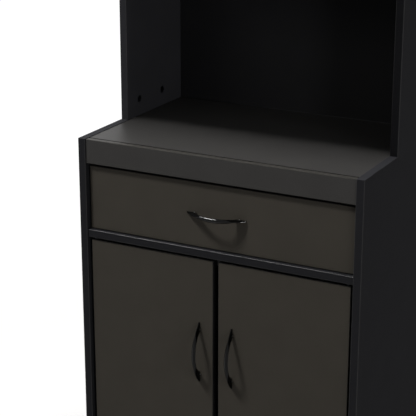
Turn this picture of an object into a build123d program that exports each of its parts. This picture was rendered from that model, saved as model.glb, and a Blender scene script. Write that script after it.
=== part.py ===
from build123d import *
import os

os.makedirs("parts", exist_ok=True)

# A free-standing kitchen cabinet: a base with one drawer over two doors, and a shallower hutch
# on top with an open niche and a two-door cupboard. Millimetres, +Z up, the front faces -Y.
# The origin is on the floor, under the middle of the whole cabinet, handles included.

# Overall sizes
width = 600.0
depth = 400.0
base_height = 850.0
hutch_height = 950.0
hutch_setback = 165.0
niche_height = 420.0
plinth_height = 60.0
plinth_setback = 40.0

# Boards
board = 16.0
fascia_board = 15.0
drawer_board = 12.0
back_board = 3.0
back_inset = 8.0
groove_depth = 5.0
groove_room = 0.1
edge_round = 1.5

# How far the fronts stand behind the front edges of the side panels
fascia_recess = 3.0
rail_recess = 3.0
door_recess = 7.0
drawer_recess = 11.0

# Worktop and its front fascia
worktop_drop = 1.0
fascia_height = 49.0
fascia_chamfer = 3.5
drawer_opening = 136.5

# Gaps beside, above and below the drawer front, and round each door
drawer_gap = 2.5
drawer_top_gap = 5.5
drawer_foot_gap = 1.2
door_gap = 5.5

# Play of fixed pins in their holes, of turning pins in their bushes, and at the ends of blind holes
fixed_play = 0.05
running_play = 0.05
end_play = 0.3
side_play = 1.0

# Bow handles
handle_length = 126.0
handle_foot = 22.0
handle_rise = 28.0
handle_thickness = 6.0
handle_tip = 2.5
handle_width = 9.0
handle_round = 2.0
handle_hole_from_end = 15.0
handle_hole_room = 1.0
handle_from_edge = 30.0
lower_handle_drop = 195.0
upper_handle_lift = 120.0

# Handle screws
machine_screw_diameter = 4.0
machine_screw_grip = 8.0
machine_screw_play = 0.25
machine_head_diameter = 8.0
machine_head_height = 2.4

# Wood screws
wood_screw_diameter = 3.5
wood_screw_length = 13.0
wood_head_diameter = 7.0
wood_head_height = 2.0

# Cam locks and their bolts
cam_diameter = 15.0
cam_height = 12.5
cam_distance = 34.0
cam_mouth_play = 0.3
cam_slot_length = 9.0
cam_slot_width = 2.0
cam_slot_depth = 2.5
bolt_thread_diameter = 6.0
bolt_thread_length = 11.0
bolt_shank_diameter = 5.0
bolt_neck_diameter = 3.5
bolt_neck_length = 3.0
bolt_head_diameter = 7.0
bolt_head_length = 3.5
bolt_bore_play = 0.5

# Dowels
dowel_diameter = 8.0
dowel_length = 30.0
dowel_in_face = 11.0
drawer_dowel_diameter = 6.0
drawer_dowel_length = 24.0
drawer_dowel_in_face = 9.0

# Where the joints sit along the depth, measured from the front or back end of each board
base_cam_from_front = 67.0
base_cam_from_back = 70.0
dowel_from_cam = 40.0
hutch_cam_from_front = 47.0
hutch_cam_from_back = 82.0
hutch_dowel_from_back = 29.0
shelf_cam_from_front = 47.0
shelf_cam_from_back = 44.0
shelf_dowel_from_cam = 38.0

# Roller runners of the drawer
runner_clearance = 12.5
runner_back_gap = 10.0
runner_steel = 1.0
runner_lift = 11.5
runner_setback = 2.0
runner_strip = 14.0
runner_web_gap = 0.7
runner_screw_inset = 40.0
drawer_travel = 270.0
stop_height = 5.0
stop_thickness = 1.5
stop_gap = 0.3
roller_diameter = 16.0
roller_play = 0.3
roller_side_play = 0.2
roller_round = 0.8
roller_pin_diameter = 4.0
roller_shoulder_diameter = 7.0
roller_head_diameter = 6.5
roller_head_height = 0.8
roller_head_gap = 0.5
roller_from_end = 10.0
channel_play = 1.0

# Drawer box
drawer_back_gap = 22.0
drawer_side_room = 25.0
drawer_bottom_board = 3.0
drawer_bottom_lift = 8.0
drawer_runner_screw_from_end = 50.0
drawer_dowel_from_edge = 25.0

# Door pivots
pivot_from_edge = 8.0
pivot_diameter = 5.0
pivot_in_door = 18.0
pivot_end_room = 1.5
pivot_collar_diameter = 9.0
pivot_collar_play = 0.15
bush_diameter = 8.0
bush_depth = 11.0
bush_flange_diameter = 12.0
bush_flange = 1.0

# Magnetic catches and their strike plates
catch_width = 60.0
catch_depth = 16.0
catch_height = 20.0
catch_play = 0.3
catch_ear = 2.0
catch_ear_inset = 6.0
catch_pole_slot = 2.0
catch_pole_depth = 1.5
strike_width = 14.0
strike_height = 12.0
strike_thickness = 1.2
strike_from_edge = 5.0
strike_pin_diameter = 3.0
strike_pin_length = 8.0

# Adjustable shelves and their pins
shelf_pin_diameter = 5.0
shelf_pin_in_side = 8.0
shelf_pin_out = 9.0
shelf_pin_inset = 45.0
shelf_hole_pitch = 64.0
shelf_hole_rows = 3
shelf_setback = 40.0
lower_shelf_lift = 274.0
upper_shelf_lift = 245.0

# Angle brackets
bracket_leg = 30.0
bracket_width = 18.0
bracket_steel = 2.0
bracket_hole = 5.0
bracket_hole_from_corner = 18.0
fascia_bracket_spacing = 300.0
wall_bracket_spacing = 400.0

# Floor glides
glide_height = 5.0
glide_length = 30.0
glide_width = 14.0
glide_spike_diameter = 2.5
glide_spike_length = 12.0
glide_inset = 40.0
glide_round = 1.0

# Levels and planes worked out from the sizes above
half_width = width / 2
inner_x = half_width - board
side_middle_x = half_width - board / 2
handle_reach = handle_rise - door_recess
front_y = -(depth - handle_reach) / 2
back_y = front_y + depth
back_face_y = back_y - back_inset - back_board
hutch_front_y = front_y + hutch_setback
rail_front_y = front_y + rail_recess
shelf_rail_y = hutch_front_y + rail_recess
bottom_z = plinth_height
bottom_top = bottom_z + board
worktop_top = base_height - worktop_drop
worktop_z = worktop_top - board
fascia_z = worktop_top - fascia_height
fascia_y = front_y + fascia_recess
fascia_back_y = fascia_y + fascia_board
divider_top = fascia_z - drawer_opening
divider_z = divider_top - board
hutch_top = base_height + hutch_height
hutch_top_z = hutch_top - board
middle_shelf_z = worktop_top + niche_height
middle_shelf_top = middle_shelf_z + board
drawer_face_y = front_y + drawer_recess
drawer_back_y = drawer_face_y + board
drawer_front_z0 = divider_top + drawer_foot_gap
drawer_front_z1 = fascia_z - drawer_top_gap
drawer_handle_z = divider_top + drawer_opening / 2
lower_shelf_z = bottom_top + lower_shelf_lift
upper_shelf_z = middle_shelf_top + upper_shelf_lift

# Drawer box and runner levels
box_x = inner_x - runner_clearance
box_inner_x = box_x - drawer_board
track_z = divider_top + runner_lift
drawer_side_z = track_z
drawer_side_top = fascia_z - drawer_side_room
roller_radius = roller_diameter / 2
roller_z = track_z + roller_play + roller_radius
flange_z = roller_z + roller_radius + roller_play
channel_top_z = flange_z + runner_steel + channel_play
cabinet_runner_y = drawer_back_y + runner_setback
cabinet_runner_end_y = back_face_y - runner_back_gap
drawer_runner_y = drawer_back_y
box_back_y = back_face_y - drawer_back_gap
front_roller_y = cabinet_runner_y + roller_from_end
rear_roller_y = box_back_y - roller_from_end
drawer_web_x = box_x + runner_steel
cabinet_web_x = inner_x - runner_steel
roller_room = roller_side_play + roller_head_height + roller_head_gap
roller_x0 = drawer_web_x + roller_room
roller_x1 = cabinet_web_x - roller_room
roller_width = roller_x1 - roller_x0
stop_rows = (rear_roller_y - drawer_travel - roller_radius - stop_gap - stop_thickness,
             rear_roller_y + roller_radius + stop_gap)
drawer_bottom_z = drawer_side_z + drawer_bottom_lift
drawer_bottom_top = drawer_bottom_z + drawer_bottom_board
drawer_dowel_x = (box_x + box_inner_x) / 2
drawer_dowel_levels = (drawer_side_z + drawer_dowel_from_edge, drawer_side_top - drawer_dowel_from_edge)
drawer_runner_screw_x = box_x - (drawer_board - groove_depth) / 2

# Door planes
lower_face_y = front_y + door_recess
upper_face_y = hutch_front_y + door_recess
pivot_x = inner_x - door_gap - pivot_from_edge
pivot_in_bush = bush_depth - pivot_end_room
collar_height = door_gap - bush_flange - pivot_collar_play

# Holes that follow what goes through them
cam_mouth = bolt_head_diameter + 2 * cam_mouth_play
bolt_bore = bolt_head_diameter + 2 * bolt_bore_play
machine_screw_hole = machine_screw_diameter + 2 * machine_screw_play
handle_hole_reach = handle_length / 2 - handle_hole_from_end

# Rows of joints along the depth
base_cam_rows = (rail_front_y + base_cam_from_front, back_face_y - base_cam_from_back)
base_dowel_rows = (base_cam_rows[0] + dowel_from_cam, base_cam_rows[1] - dowel_from_cam)
shelf_cam_rows = (shelf_rail_y + shelf_cam_from_front, back_face_y - shelf_cam_from_back)
shelf_dowel_rows = (shelf_cam_rows[0] + shelf_dowel_from_cam, shelf_cam_rows[1] - shelf_dowel_from_cam)
hutch_bolt_rows = (hutch_front_y + hutch_cam_from_front, back_face_y - hutch_cam_from_back)
hutch_dowel_rows = ((hutch_bolt_rows[0] + hutch_bolt_rows[1]) / 2, back_face_y - hutch_dowel_from_back)
plinth_dowel = (front_y + plinth_setback + board / 2, (glide_height + plinth_height) / 2)
fascia_dowel = (fascia_y + fascia_board / 2, (fascia_z + worktop_z) / 2)
glide_rows = (front_y + glide_inset, back_y - glide_inset)
lower_pin_rows = (front_y + shelf_setback + shelf_pin_inset, back_face_y - shelf_pin_inset)
upper_pin_rows = (hutch_front_y + shelf_setback + shelf_pin_inset, back_face_y - shelf_pin_inset)

SIDES = (-1, 1)


def block(x0, x1, y0, y1, z0, z1):
    """A rectangular block between two corners, given in either order."""
    size = (abs(x1 - x0), abs(y1 - y0), abs(z1 - z0))
    centre = ((x0 + x1) / 2, (y0 + y1) / 2, (z0 + z1) / 2)
    return Pos(*centre) * Box(*size)


def rod(start, end, diameter):
    """A round bar between two points."""
    axis = Vector(end) - Vector(start)
    plane = Plane(origin=start, z_dir=axis.normalized())
    return plane * Cylinder(diameter / 2, axis.length, align=(Align.CENTER, Align.CENTER, Align.MIN))


def group(pieces):
    """Separate solids kept together in one node."""
    return Compound([solid for piece in pieces for solid in piece.solids()])


def round_front(shape, along):
    """Round the front edges of a board that run along one axis."""
    return fillet(shape.edges().filter_by(along).group_by(Axis.Y)[0], edge_round)


def round_front_all(shape):
    """Round all four edges of a board's front face."""
    return fillet(shape.edges().group_by(Axis.Y)[0], edge_round)


# Cam joints and dowels. Each is drawn in its own frame: the joint face is at x = 0, the bolt
# runs along +x into the board with the cam, and the cam's mouth faces +z.

def end_joint(side, y, z):
    """The frame of a joint at the end of a horizontal board, where it meets a side panel."""
    return Plane(origin=(side * inner_x, y, z), x_dir=(-side, 0, 0), z_dir=(0, 0, -1))


def stack_joint(side, y):
    """The frame of a joint where a hutch side stands on a base side."""
    return Plane(origin=(side * side_middle_x, y, base_height), x_dir=(0, 0, 1), z_dir=(-side, 0, 0))


def cam_lock(frame):
    """The cam of one joint, with its side mouth for the bolt and its driver cross."""
    floor_z = board / 2 - cam_height - end_play
    body = Pos(cam_distance, 0, floor_z) * Cylinder(
        cam_diameter / 2, cam_height, align=(Align.CENTER, Align.CENTER, Align.MIN))
    mouth = rod((cam_distance - cam_diameter, 0, 0), (cam_distance + bolt_head_length, 0, 0), cam_mouth)
    slot_z = floor_z + cam_height - cam_slot_depth / 2
    slot = Pos(cam_distance, 0, slot_z) * Box(cam_slot_length, cam_slot_width, cam_slot_depth)
    cross = Pos(cam_distance, 0, slot_z) * Box(cam_slot_width, cam_slot_length, cam_slot_depth)
    return frame * (body - mouth - slot - cross)


def cam_bolt(frame):
    """The bolt of one joint: thread, shank, neck and the head that the cam pulls."""
    neck_x = cam_distance - bolt_neck_length
    thread = rod((-bolt_thread_length, 0, 0), (0, 0, 0), bolt_thread_diameter)
    shank = rod((0, 0, 0), (neck_x - bolt_neck_length, 0, 0), bolt_shank_diameter)
    neck = rod((neck_x - bolt_neck_length, 0, 0), (neck_x, 0, 0), bolt_neck_diameter)
    head = rod((neck_x, 0, 0), (neck_x + bolt_head_length, 0, 0), bolt_head_diameter)
    return frame * (thread + shank + neck + head)


def cam_pocket(frame):
    """What one cam joint cuts from the board that holds the cam."""
    pocket = Pos(cam_distance, 0, board / 2) * Cylinder(
        cam_diameter / 2 + fixed_play, cam_height + end_play, align=(Align.CENTER, Align.CENTER, Align.MAX))
    bore = rod((-end_play, 0, 0), (cam_distance, 0, 0), bolt_bore)
    return frame * (pocket + bore)


def bolt_hole(frame):
    """What one cam joint cuts from the panel that holds the bolt."""
    return frame * rod((-bolt_thread_length - end_play, 0, 0), (end_play, 0, 0),
                       bolt_thread_diameter + 2 * fixed_play)


def dowel(frame):
    """One wooden dowel."""
    return frame * rod((-dowel_in_face, 0, 0), (dowel_length - dowel_in_face, 0, 0), dowel_diameter)


def dowel_hole(frame):
    """The hole of one dowel, through both boards of the joint."""
    return frame * rod((-dowel_in_face - end_play, 0, 0), (dowel_length - dowel_in_face + end_play, 0, 0),
                       dowel_diameter + 2 * fixed_play)


# The horizontal boards of the carcass: level of the underside, and the rows of their joints
BASE_BOARDS = {"bottom": bottom_z, "divider": divider_z, "worktop": worktop_z}
HUTCH_BOARDS = {"shelf": middle_shelf_z, "top": hutch_top_z}


def cam_frames(side):
    """The cam joints between the horizontal boards and one side, base and hutch apart."""
    base = [end_joint(side, y, z + board / 2) for z in BASE_BOARDS.values() for y in base_cam_rows]
    hutch = [end_joint(side, y, z + board / 2) for z in HUTCH_BOARDS.values() for y in shelf_cam_rows]
    return base, hutch


def dowel_frames(side):
    """The dowels at the ends of the horizontal boards on one side, base and hutch apart."""
    base = [end_joint(side, y, z + board / 2) for z in BASE_BOARDS.values() for y in base_dowel_rows]
    base += [end_joint(side, *plinth_dowel), end_joint(side, *fascia_dowel)]
    hutch = [end_joint(side, y, z + board / 2) for z in HUTCH_BOARDS.values() for y in shelf_dowel_rows]
    return base, hutch


def stack_bolts(side):
    """The cam joints between the hutch and the base on one side."""
    return [stack_joint(side, y) for y in hutch_bolt_rows]


def stack_dowels(side):
    """The dowels between the hutch and the base on one side."""
    return [stack_joint(side, y) for y in hutch_dowel_rows]


def end_cuts(z, cam_rows, dowel_rows):
    """The pockets and holes at both ends of a horizontal board."""
    cuts = []
    for side in SIDES:
        cuts += [cam_pocket(end_joint(side, y, z + board / 2)) for y in cam_rows]
        cuts += [dowel_hole(end_joint(side, y, z + board / 2)) for y in dowel_rows]
    return cuts


def shelf_hole_levels(shelf_height):
    """The levels of the pin holes round the height that a shelf is set to."""
    middle = (shelf_hole_rows - 1) / 2
    pin_z = shelf_height - shelf_pin_diameter / 2
    return [pin_z + (row - middle) * shelf_hole_pitch for row in range(shelf_hole_rows)]


def shelf_pin_holes(side, rows, shelf_height):
    """The pin holes in one side panel."""
    return [rod((side * (inner_x - end_play), y, z), (side * (inner_x + shelf_pin_in_side + end_play), y, z),
                shelf_pin_diameter + 2 * fixed_play)
            for y in rows for z in shelf_hole_levels(shelf_height)]


def back_groove(side, z0, z1):
    """The groove in a side panel that the back panel slides into."""
    return block(side * inner_x, side * (inner_x + groove_depth), back_face_y - groove_room,
                 back_face_y + back_board + groove_room, z0, z1)


# Carcass boards

def base_side(side):
    """A side panel of the base, from its floor glides up to the worktop."""
    panel = block(side * inner_x, side * half_width, front_y, back_y, glide_height, base_height)
    panel = round_front(panel, Axis.Z)
    cuts = [bolt_hole(frame) for frame in cam_frames(side)[0] + stack_bolts(side)]
    cuts += [dowel_hole(frame) for frame in dowel_frames(side)[0] + stack_dowels(side)]
    cuts += shelf_pin_holes(side, lower_pin_rows, lower_shelf_z)
    cuts += [wood_screw_hole(frame, runner_steel) for frame in runner_screw_frames(side)]
    cuts += [glide_hole(side, y) for y in glide_rows]
    cuts.append(back_groove(side, glide_height, base_height))
    return panel - cuts


def hutch_side(side):
    """A side panel of the hutch, which stands on the base side."""
    panel = block(side * inner_x, side * half_width, hutch_front_y, back_y, base_height, hutch_top)
    panel = round_front(panel, Axis.Z)
    cuts = [bolt_hole(frame) for frame in cam_frames(side)[1]]
    cuts += [dowel_hole(frame) for frame in dowel_frames(side)[1] + stack_dowels(side)]
    cuts += [cam_pocket(frame) for frame in stack_bolts(side)]
    cuts += shelf_pin_holes(side, upper_pin_rows, upper_shelf_z)
    cuts.append(back_groove(side, base_height, hutch_top))
    return panel - cuts


def bottom_panel():
    """The floor of the lower cupboard, with the lower bushes of its doors."""
    panel = block(-inner_x, inner_x, rail_front_y, back_face_y, bottom_z, bottom_top)
    panel = round_front(panel, Axis.X)
    cuts = end_cuts(bottom_z, base_cam_rows, base_dowel_rows)
    cuts += [bush_hole(side, lower_face_y, bottom_top, -1) for side in SIDES]
    return panel - cuts


def divider_shelf():
    """The fixed shelf between drawer and doors, whose front edge shows as a rail."""
    panel = block(-inner_x, inner_x, rail_front_y, back_face_y, divider_z, divider_top)
    panel = round_front(panel, Axis.X)
    cuts = end_cuts(divider_z, base_cam_rows, base_dowel_rows)
    cuts += [bush_hole(side, lower_face_y, divider_z, 1) for side in SIDES]
    cuts += [wood_screw_hole(frame, catch_ear) for frame in catch_screw_frames(lower_face_y, divider_z)]
    return panel - cuts


def worktop():
    """The worktop board, held between the side panels behind the fascia."""
    panel = block(-inner_x, inner_x, fascia_back_y, back_face_y, worktop_z, worktop_top)
    cuts = end_cuts(worktop_z, base_cam_rows, base_dowel_rows)
    cuts += [wood_screw_hole(upward, bracket_steel) for upward, forward in fascia_bracket_screws()]
    return panel - cuts


def worktop_fascia():
    """The board along the front of the worktop, with a groove where it meets the worktop."""
    panel = block(-inner_x, inner_x, fascia_y, fascia_back_y, fascia_z, worktop_top)
    panel = round_front(panel, Axis.X)
    rear_top = panel.edges().filter_by(Axis.X).group_by(Axis.Y)[-1].sort_by(Axis.Z)[-1]
    panel = chamfer(rear_top, fascia_chamfer)
    cuts = [dowel_hole(end_joint(side, *fascia_dowel)) for side in SIDES]
    cuts += [wood_screw_hole(forward, bracket_steel) for upward, forward in fascia_bracket_screws()]
    return panel - cuts


def plinth_board():
    """The kick board under the bottom panel."""
    y0 = front_y + plinth_setback
    panel = block(-inner_x, inner_x, y0, y0 + board, glide_height, bottom_z)
    return panel - [dowel_hole(end_joint(side, *plinth_dowel)) for side in SIDES]


def middle_shelf():
    """The fixed shelf over the niche, and the floor of the upper cupboard."""
    panel = block(-inner_x, inner_x, shelf_rail_y, back_face_y, middle_shelf_z, middle_shelf_top)
    panel = round_front(panel, Axis.X)
    cuts = end_cuts(middle_shelf_z, shelf_cam_rows, shelf_dowel_rows)
    cuts += [bush_hole(side, upper_face_y, middle_shelf_top, -1) for side in SIDES]
    return panel - cuts


def hutch_top_panel():
    """The top of the hutch."""
    panel = block(-inner_x, inner_x, shelf_rail_y, back_face_y, hutch_top_z, hutch_top)
    panel = round_front(panel, Axis.X)
    cuts = end_cuts(hutch_top_z, shelf_cam_rows, shelf_dowel_rows)
    cuts += [bush_hole(side, upper_face_y, hutch_top_z, 1) for side in SIDES]
    cuts += [wood_screw_hole(frame, catch_ear) for frame in catch_screw_frames(upper_face_y, hutch_top_z)]
    cuts += [wood_screw_hole(frame, bracket_steel) for frame in wall_bracket_screws()]
    return panel - cuts


def back_panel(z0, z1):
    """A thin back panel, held in the grooves of the side panels."""
    half = inner_x + groove_depth - end_play
    return block(-half, half, back_face_y, back_face_y + back_board, z0, z1)


def hutch_back_panel():
    """The back of the hutch, with the two holes for wall screws."""
    panel = back_panel(base_height, hutch_top)
    return panel - [rod((x, back_face_y - end_play, wall_hole_z()),
                        (x, back_face_y + back_board + end_play, wall_hole_z()), bracket_hole)
                    for x in wall_bracket_rows()]


def adjustable_shelf(front, height):
    """A loose shelf that lies on four pins."""
    half = inner_x - side_play
    shelf = block(-half, half, front + shelf_setback, back_face_y - side_play, height, height + board)
    return round_front(shelf, Axis.X)


def shelf_pins():
    """The pins under both adjustable shelves."""
    pins = []
    for rows, height in ((lower_pin_rows, lower_shelf_z), (upper_pin_rows, upper_shelf_z)):
        z = height - shelf_pin_diameter / 2
        pins += [rod((side * (inner_x - shelf_pin_out), y, z),
                     (side * (inner_x + shelf_pin_in_side), y, z), shelf_pin_diameter)
                 for side in SIDES for y in rows]
    return group(pins)


# Floor glides

def glide(side, y):
    """A nailed plastic glide under a side panel."""
    foot = Pos(side * side_middle_x, y, glide_height / 2) * Box(glide_width, glide_length, glide_height)
    foot = fillet(foot.edges().group_by(Axis.Z)[0], glide_round)
    spike = rod((side * side_middle_x, y, glide_height),
                (side * side_middle_x, y, glide_height + glide_spike_length), glide_spike_diameter)
    return foot + spike


def glide_hole(side, y):
    """The hole of a glide's spike."""
    return rod((side * side_middle_x, y, glide_height - end_play),
               (side * side_middle_x, y, glide_height + glide_spike_length + end_play),
               glide_spike_diameter + 2 * fixed_play)


# Wood screws. The frame of a screw has its face at z = 0 and the point along -z.

def wood_screw(frame, through):
    """A pan-head screw whose head lies on a plate of the given thickness."""
    head = rod((0, 0, through), (0, 0, through + wood_head_height), wood_head_diameter)
    shank = rod((0, 0, through - wood_screw_length), (0, 0, through), wood_screw_diameter)
    return frame * (head + shank)


def wood_screw_hole(frame, through):
    """The hole in the board behind a plate of the given thickness."""
    return frame * rod((0, 0, through - wood_screw_length - end_play), (0, 0, end_play),
                       wood_screw_diameter + 2 * fixed_play)


# Angle brackets under the worktop and inside the upper cupboard

def fascia_bracket_rows():
    """Where the fascia's brackets sit across the width."""
    return (-fascia_bracket_spacing / 2, fascia_bracket_spacing / 2)


def wall_bracket_rows():
    """Where the wall brackets sit across the width."""
    return (-wall_bracket_spacing / 2, wall_bracket_spacing / 2)


def wall_hole_z():
    """The level of the wall screws."""
    return hutch_top_z - bracket_hole_from_corner


def fascia_bracket_screws():
    """The frames of both screws of each fascia bracket: up into the worktop, forward into the fascia."""
    reach = bracket_hole_from_corner
    return [(Plane(origin=(x, fascia_back_y + reach, worktop_z), z_dir=(0, 0, -1)),
             Plane(origin=(x, fascia_back_y, worktop_z - reach), z_dir=(0, 1, 0)))
            for x in fascia_bracket_rows()]


def wall_bracket_screws():
    """The frame of the screw of each wall bracket, up into the hutch top."""
    y = back_face_y - bracket_hole_from_corner
    return [Plane(origin=(x, y, hutch_top_z), z_dir=(0, 0, -1)) for x in wall_bracket_rows()]


def angle_bracket(x, corner_y, corner_z, inward):
    """An angle bracket in the corner under a board, with one leg running inward along Y."""
    half = bracket_width / 2
    flat = block(x - half, x + half, corner_y, corner_y + inward * bracket_leg,
                 corner_z - bracket_steel, corner_z)
    upright = block(x - half, x + half, corner_y, corner_y + inward * bracket_steel,
                    corner_z - bracket_leg, corner_z)
    hole_y = corner_y + inward * bracket_hole_from_corner
    hole_z = corner_z - bracket_hole_from_corner
    deep = bracket_steel + end_play
    flat_hole = rod((x, hole_y, corner_z - deep), (x, hole_y, corner_z + end_play), bracket_hole)
    upright_hole = rod((x, corner_y - inward * end_play, hole_z), (x, corner_y + inward * deep, hole_z),
                       bracket_hole)
    return flat + upright - flat_hole - upright_hole


def angle_brackets():
    """The two brackets of the fascia and the two wall brackets."""
    brackets = [angle_bracket(x, fascia_back_y, worktop_z, 1) for x in fascia_bracket_rows()]
    brackets += [angle_bracket(x, back_face_y, hutch_top_z, -1) for x in wall_bracket_rows()]
    return group(brackets)


# Drawer runners. The cabinet member is a channel on the side panel with a roller at its front,
# and the drawer member hooks over that roller and carries its own roller at the back.

def runner_screw_frames(side):
    """The screws that hold a cabinet runner, in the strip above its channel."""
    z = channel_top_z + runner_steel + runner_strip / 2
    rows = (cabinet_runner_y + runner_screw_inset, (cabinet_runner_y + cabinet_runner_end_y) / 2,
            cabinet_runner_end_y - runner_screw_inset)
    return [Plane(origin=(side * inner_x, y, z), z_dir=(-side, 0, 0)) for y in rows]


def roller_pin(side, web_x, tip_direction, y):
    """The riveted pin of a roller: shoulder, journal and head, starting at a runner's web."""
    shoulder_x = roller_x1 if tip_direction < 0 else roller_x0
    end_x = roller_x0 if tip_direction < 0 else roller_x1
    shoulder_end = shoulder_x - tip_direction * roller_side_play
    head_start = end_x + tip_direction * roller_side_play
    head_end = head_start + tip_direction * roller_head_height
    shoulder = rod((side * web_x, y, roller_z), (side * shoulder_end, y, roller_z), roller_shoulder_diameter)
    journal = rod((side * web_x, y, roller_z), (side * head_end, y, roller_z), roller_pin_diameter)
    head = rod((side * head_start, y, roller_z), (side * head_end, y, roller_z), roller_head_diameter)
    return shoulder + journal + head


def cabinet_runner(side):
    """The channel screwed to a side panel, with the pin of its front roller and the stops of the rear one."""
    y0 = cabinet_runner_y
    y1 = cabinet_runner_end_y
    strip_top = channel_top_z + runner_steel + runner_strip
    lip_x = side * (drawer_web_x + runner_web_gap)
    web = block(side * cabinet_web_x, side * inner_x, y0, y1, track_z - runner_steel, strip_top)
    track = block(lip_x, side * inner_x, y0, y1, track_z - runner_steel, track_z)
    cover = block(side * roller_x0, side * inner_x, y0, y1, channel_top_z, channel_top_z + runner_steel)
    stops = [block(side * roller_x0, side * inner_x, y, y + stop_thickness, track_z - runner_steel,
                   track_z + stop_height) for y in stop_rows]
    runner = web + track + cover + stops + roller_pin(side, cabinet_web_x, -1, front_roller_y)
    holes = [frame * rod((0, 0, -end_play), (0, 0, runner_clearance), wood_screw_diameter + 2 * fixed_play)
             for frame in runner_screw_frames(side)]
    return runner - holes


def drawer_runner_screw_frames(side):
    """The screws that hold a drawer runner, up into the bottom edge of a drawer side."""
    rows = (drawer_runner_y + drawer_runner_screw_from_end, box_back_y - drawer_runner_screw_from_end)
    return [Plane(origin=(side * drawer_runner_screw_x, y, drawer_side_z), z_dir=(0, 0, -1)) for y in rows]


def drawer_runner(side):
    """The profile under a drawer side, with the flange that rides on the front roller."""
    y0 = drawer_runner_y
    y1 = box_back_y
    web = block(side * box_x, side * drawer_web_x, y0, y1, drawer_side_z - runner_steel, flange_z + runner_steel)
    seat = block(side * box_inner_x, side * drawer_web_x, y0, y1, drawer_side_z - runner_steel, drawer_side_z)
    flange = block(side * box_x, side * roller_x1, y0, y1, flange_z, flange_z + runner_steel)
    runner = web + seat + flange + roller_pin(side, drawer_web_x, 1, rear_roller_y)
    holes = [frame * rod((0, 0, -end_play), (0, 0, runner_clearance), wood_screw_diameter + 2 * fixed_play)
             for frame in drawer_runner_screw_frames(side)]
    return runner - holes


def roller(side, y):
    """A plastic roller on its pin."""
    wheel = rod((side * roller_x0, y, roller_z), (side * roller_x1, y, roller_z), roller_diameter)
    wheel = fillet(wheel.edges(), roller_round)
    bore = rod((side * (roller_x0 - roller_width), y, roller_z), (side * (roller_x1 + roller_width), y, roller_z),
               roller_pin_diameter + 2 * running_play)
    return wheel - bore


# Drawer

def drawer_dowel_frames(side):
    """The dowels of one drawer side: into the front, and into the ends of the back."""
    front = [Plane(origin=(side * drawer_dowel_x, drawer_back_y, z), x_dir=(0, 1, 0), z_dir=(1, 0, 0))
             for z in drawer_dowel_levels]
    rear_y = box_back_y - drawer_board / 2
    rear = [Plane(origin=(side * box_inner_x, rear_y, z), x_dir=(-side, 0, 0), z_dir=(0, 0, 1))
            for z in drawer_dowel_levels]
    return front + rear


def drawer_dowel(frame):
    """One dowel of the drawer box."""
    return frame * rod((-drawer_dowel_in_face, 0, 0),
                       (drawer_dowel_length - drawer_dowel_in_face, 0, 0), drawer_dowel_diameter)


def drawer_dowel_hole(frame):
    """The hole of one dowel of the drawer box, through both boards."""
    return frame * rod((-drawer_dowel_in_face - end_play, 0, 0),
                       (drawer_dowel_length - drawer_dowel_in_face + end_play, 0, 0),
                       drawer_dowel_diameter + 2 * fixed_play)


def all_drawer_dowel_frames():
    """Every dowel of the drawer box."""
    return [frame for side in SIDES for frame in drawer_dowel_frames(side)]


def drawer_bottom_slot():
    """The groove for the drawer bottom, cut from the front and both sides."""
    half = box_inner_x + groove_depth
    return block(-half, half, drawer_back_y - groove_depth, box_back_y + end_play,
                 drawer_bottom_z - groove_room, drawer_bottom_top)


def drawer_front():
    """The drawer front, between the side panels."""
    half = inner_x - drawer_gap
    panel = block(-half, half, drawer_face_y, drawer_back_y, drawer_front_z0, drawer_front_z1)
    panel = round_front_all(panel)
    cuts = [drawer_dowel_hole(frame) for frame in all_drawer_dowel_frames()]
    cuts += handle_screw_holes(drawer_handle_frame())
    cuts.append(drawer_bottom_slot())
    return panel - cuts


def drawer_side(side):
    """A side of the drawer box."""
    panel = block(side * box_inner_x, side * box_x, drawer_back_y, box_back_y, drawer_side_z, drawer_side_top)
    cuts = [drawer_dowel_hole(frame) for frame in drawer_dowel_frames(side)]
    cuts += [wood_screw_hole(frame, runner_steel) for frame in drawer_runner_screw_frames(side)]
    cuts.append(drawer_bottom_slot())
    return panel - cuts


def drawer_back():
    """The back of the drawer box, which stands on the drawer bottom."""
    panel = block(-box_inner_x, box_inner_x, box_back_y - drawer_board, box_back_y,
                  drawer_bottom_top, drawer_side_top)
    return panel - [drawer_dowel_hole(frame) for frame in all_drawer_dowel_frames()]


def drawer_bottom():
    """The thin bottom of the drawer, in the grooves of its front and sides."""
    half = box_inner_x + groove_depth - end_play
    return block(-half, half, drawer_back_y - groove_depth + end_play, box_back_y,
                 drawer_bottom_z, drawer_bottom_top)


# Handles. A handle is drawn with its length along x and its rise along +z, on the face at z = 0.

def drawer_handle_frame():
    """The frame of the drawer's handle."""
    return Plane(origin=(0, drawer_face_y, drawer_handle_z), x_dir=(1, 0, 0), z_dir=(0, -1, 0))


def door_handle_frame(side, face_y, z):
    """The frame of a door's handle, upright near the edge where the doors meet."""
    x = side * (door_gap + handle_from_edge)
    return Plane(origin=(x, face_y, z), x_dir=(0, 0, 1), z_dir=(0, -1, 0))


def bow_handle(frame):
    """A bow handle: a crescent with flat feet, rounded along its edges."""
    half = handle_length / 2
    half_inner = half - handle_foot
    outline = [
        ThreePointArc((-half, handle_tip), (0, handle_rise), (half, handle_tip)),
        Polyline((half, handle_tip), (half, 0), (half_inner, 0)),
        ThreePointArc((half_inner, 0), (0, handle_rise - handle_thickness), (-half_inner, 0)),
        Polyline((-half_inner, 0), (-half, 0), (-half, handle_tip)),
    ]
    profile = Plane.XZ * make_face(outline)
    bow = extrude(profile, amount=handle_width / 2, both=True)
    arcs = bow.edges().filter_by(GeomType.CIRCLE)
    bow = fillet(arcs, handle_round)
    hole_end = machine_screw_grip + handle_hole_room
    holes = [rod((x, 0, -end_play), (x, 0, hole_end), machine_screw_diameter + 2 * fixed_play)
             for x in (-handle_hole_reach, handle_hole_reach)]
    return frame * (bow - holes)


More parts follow.
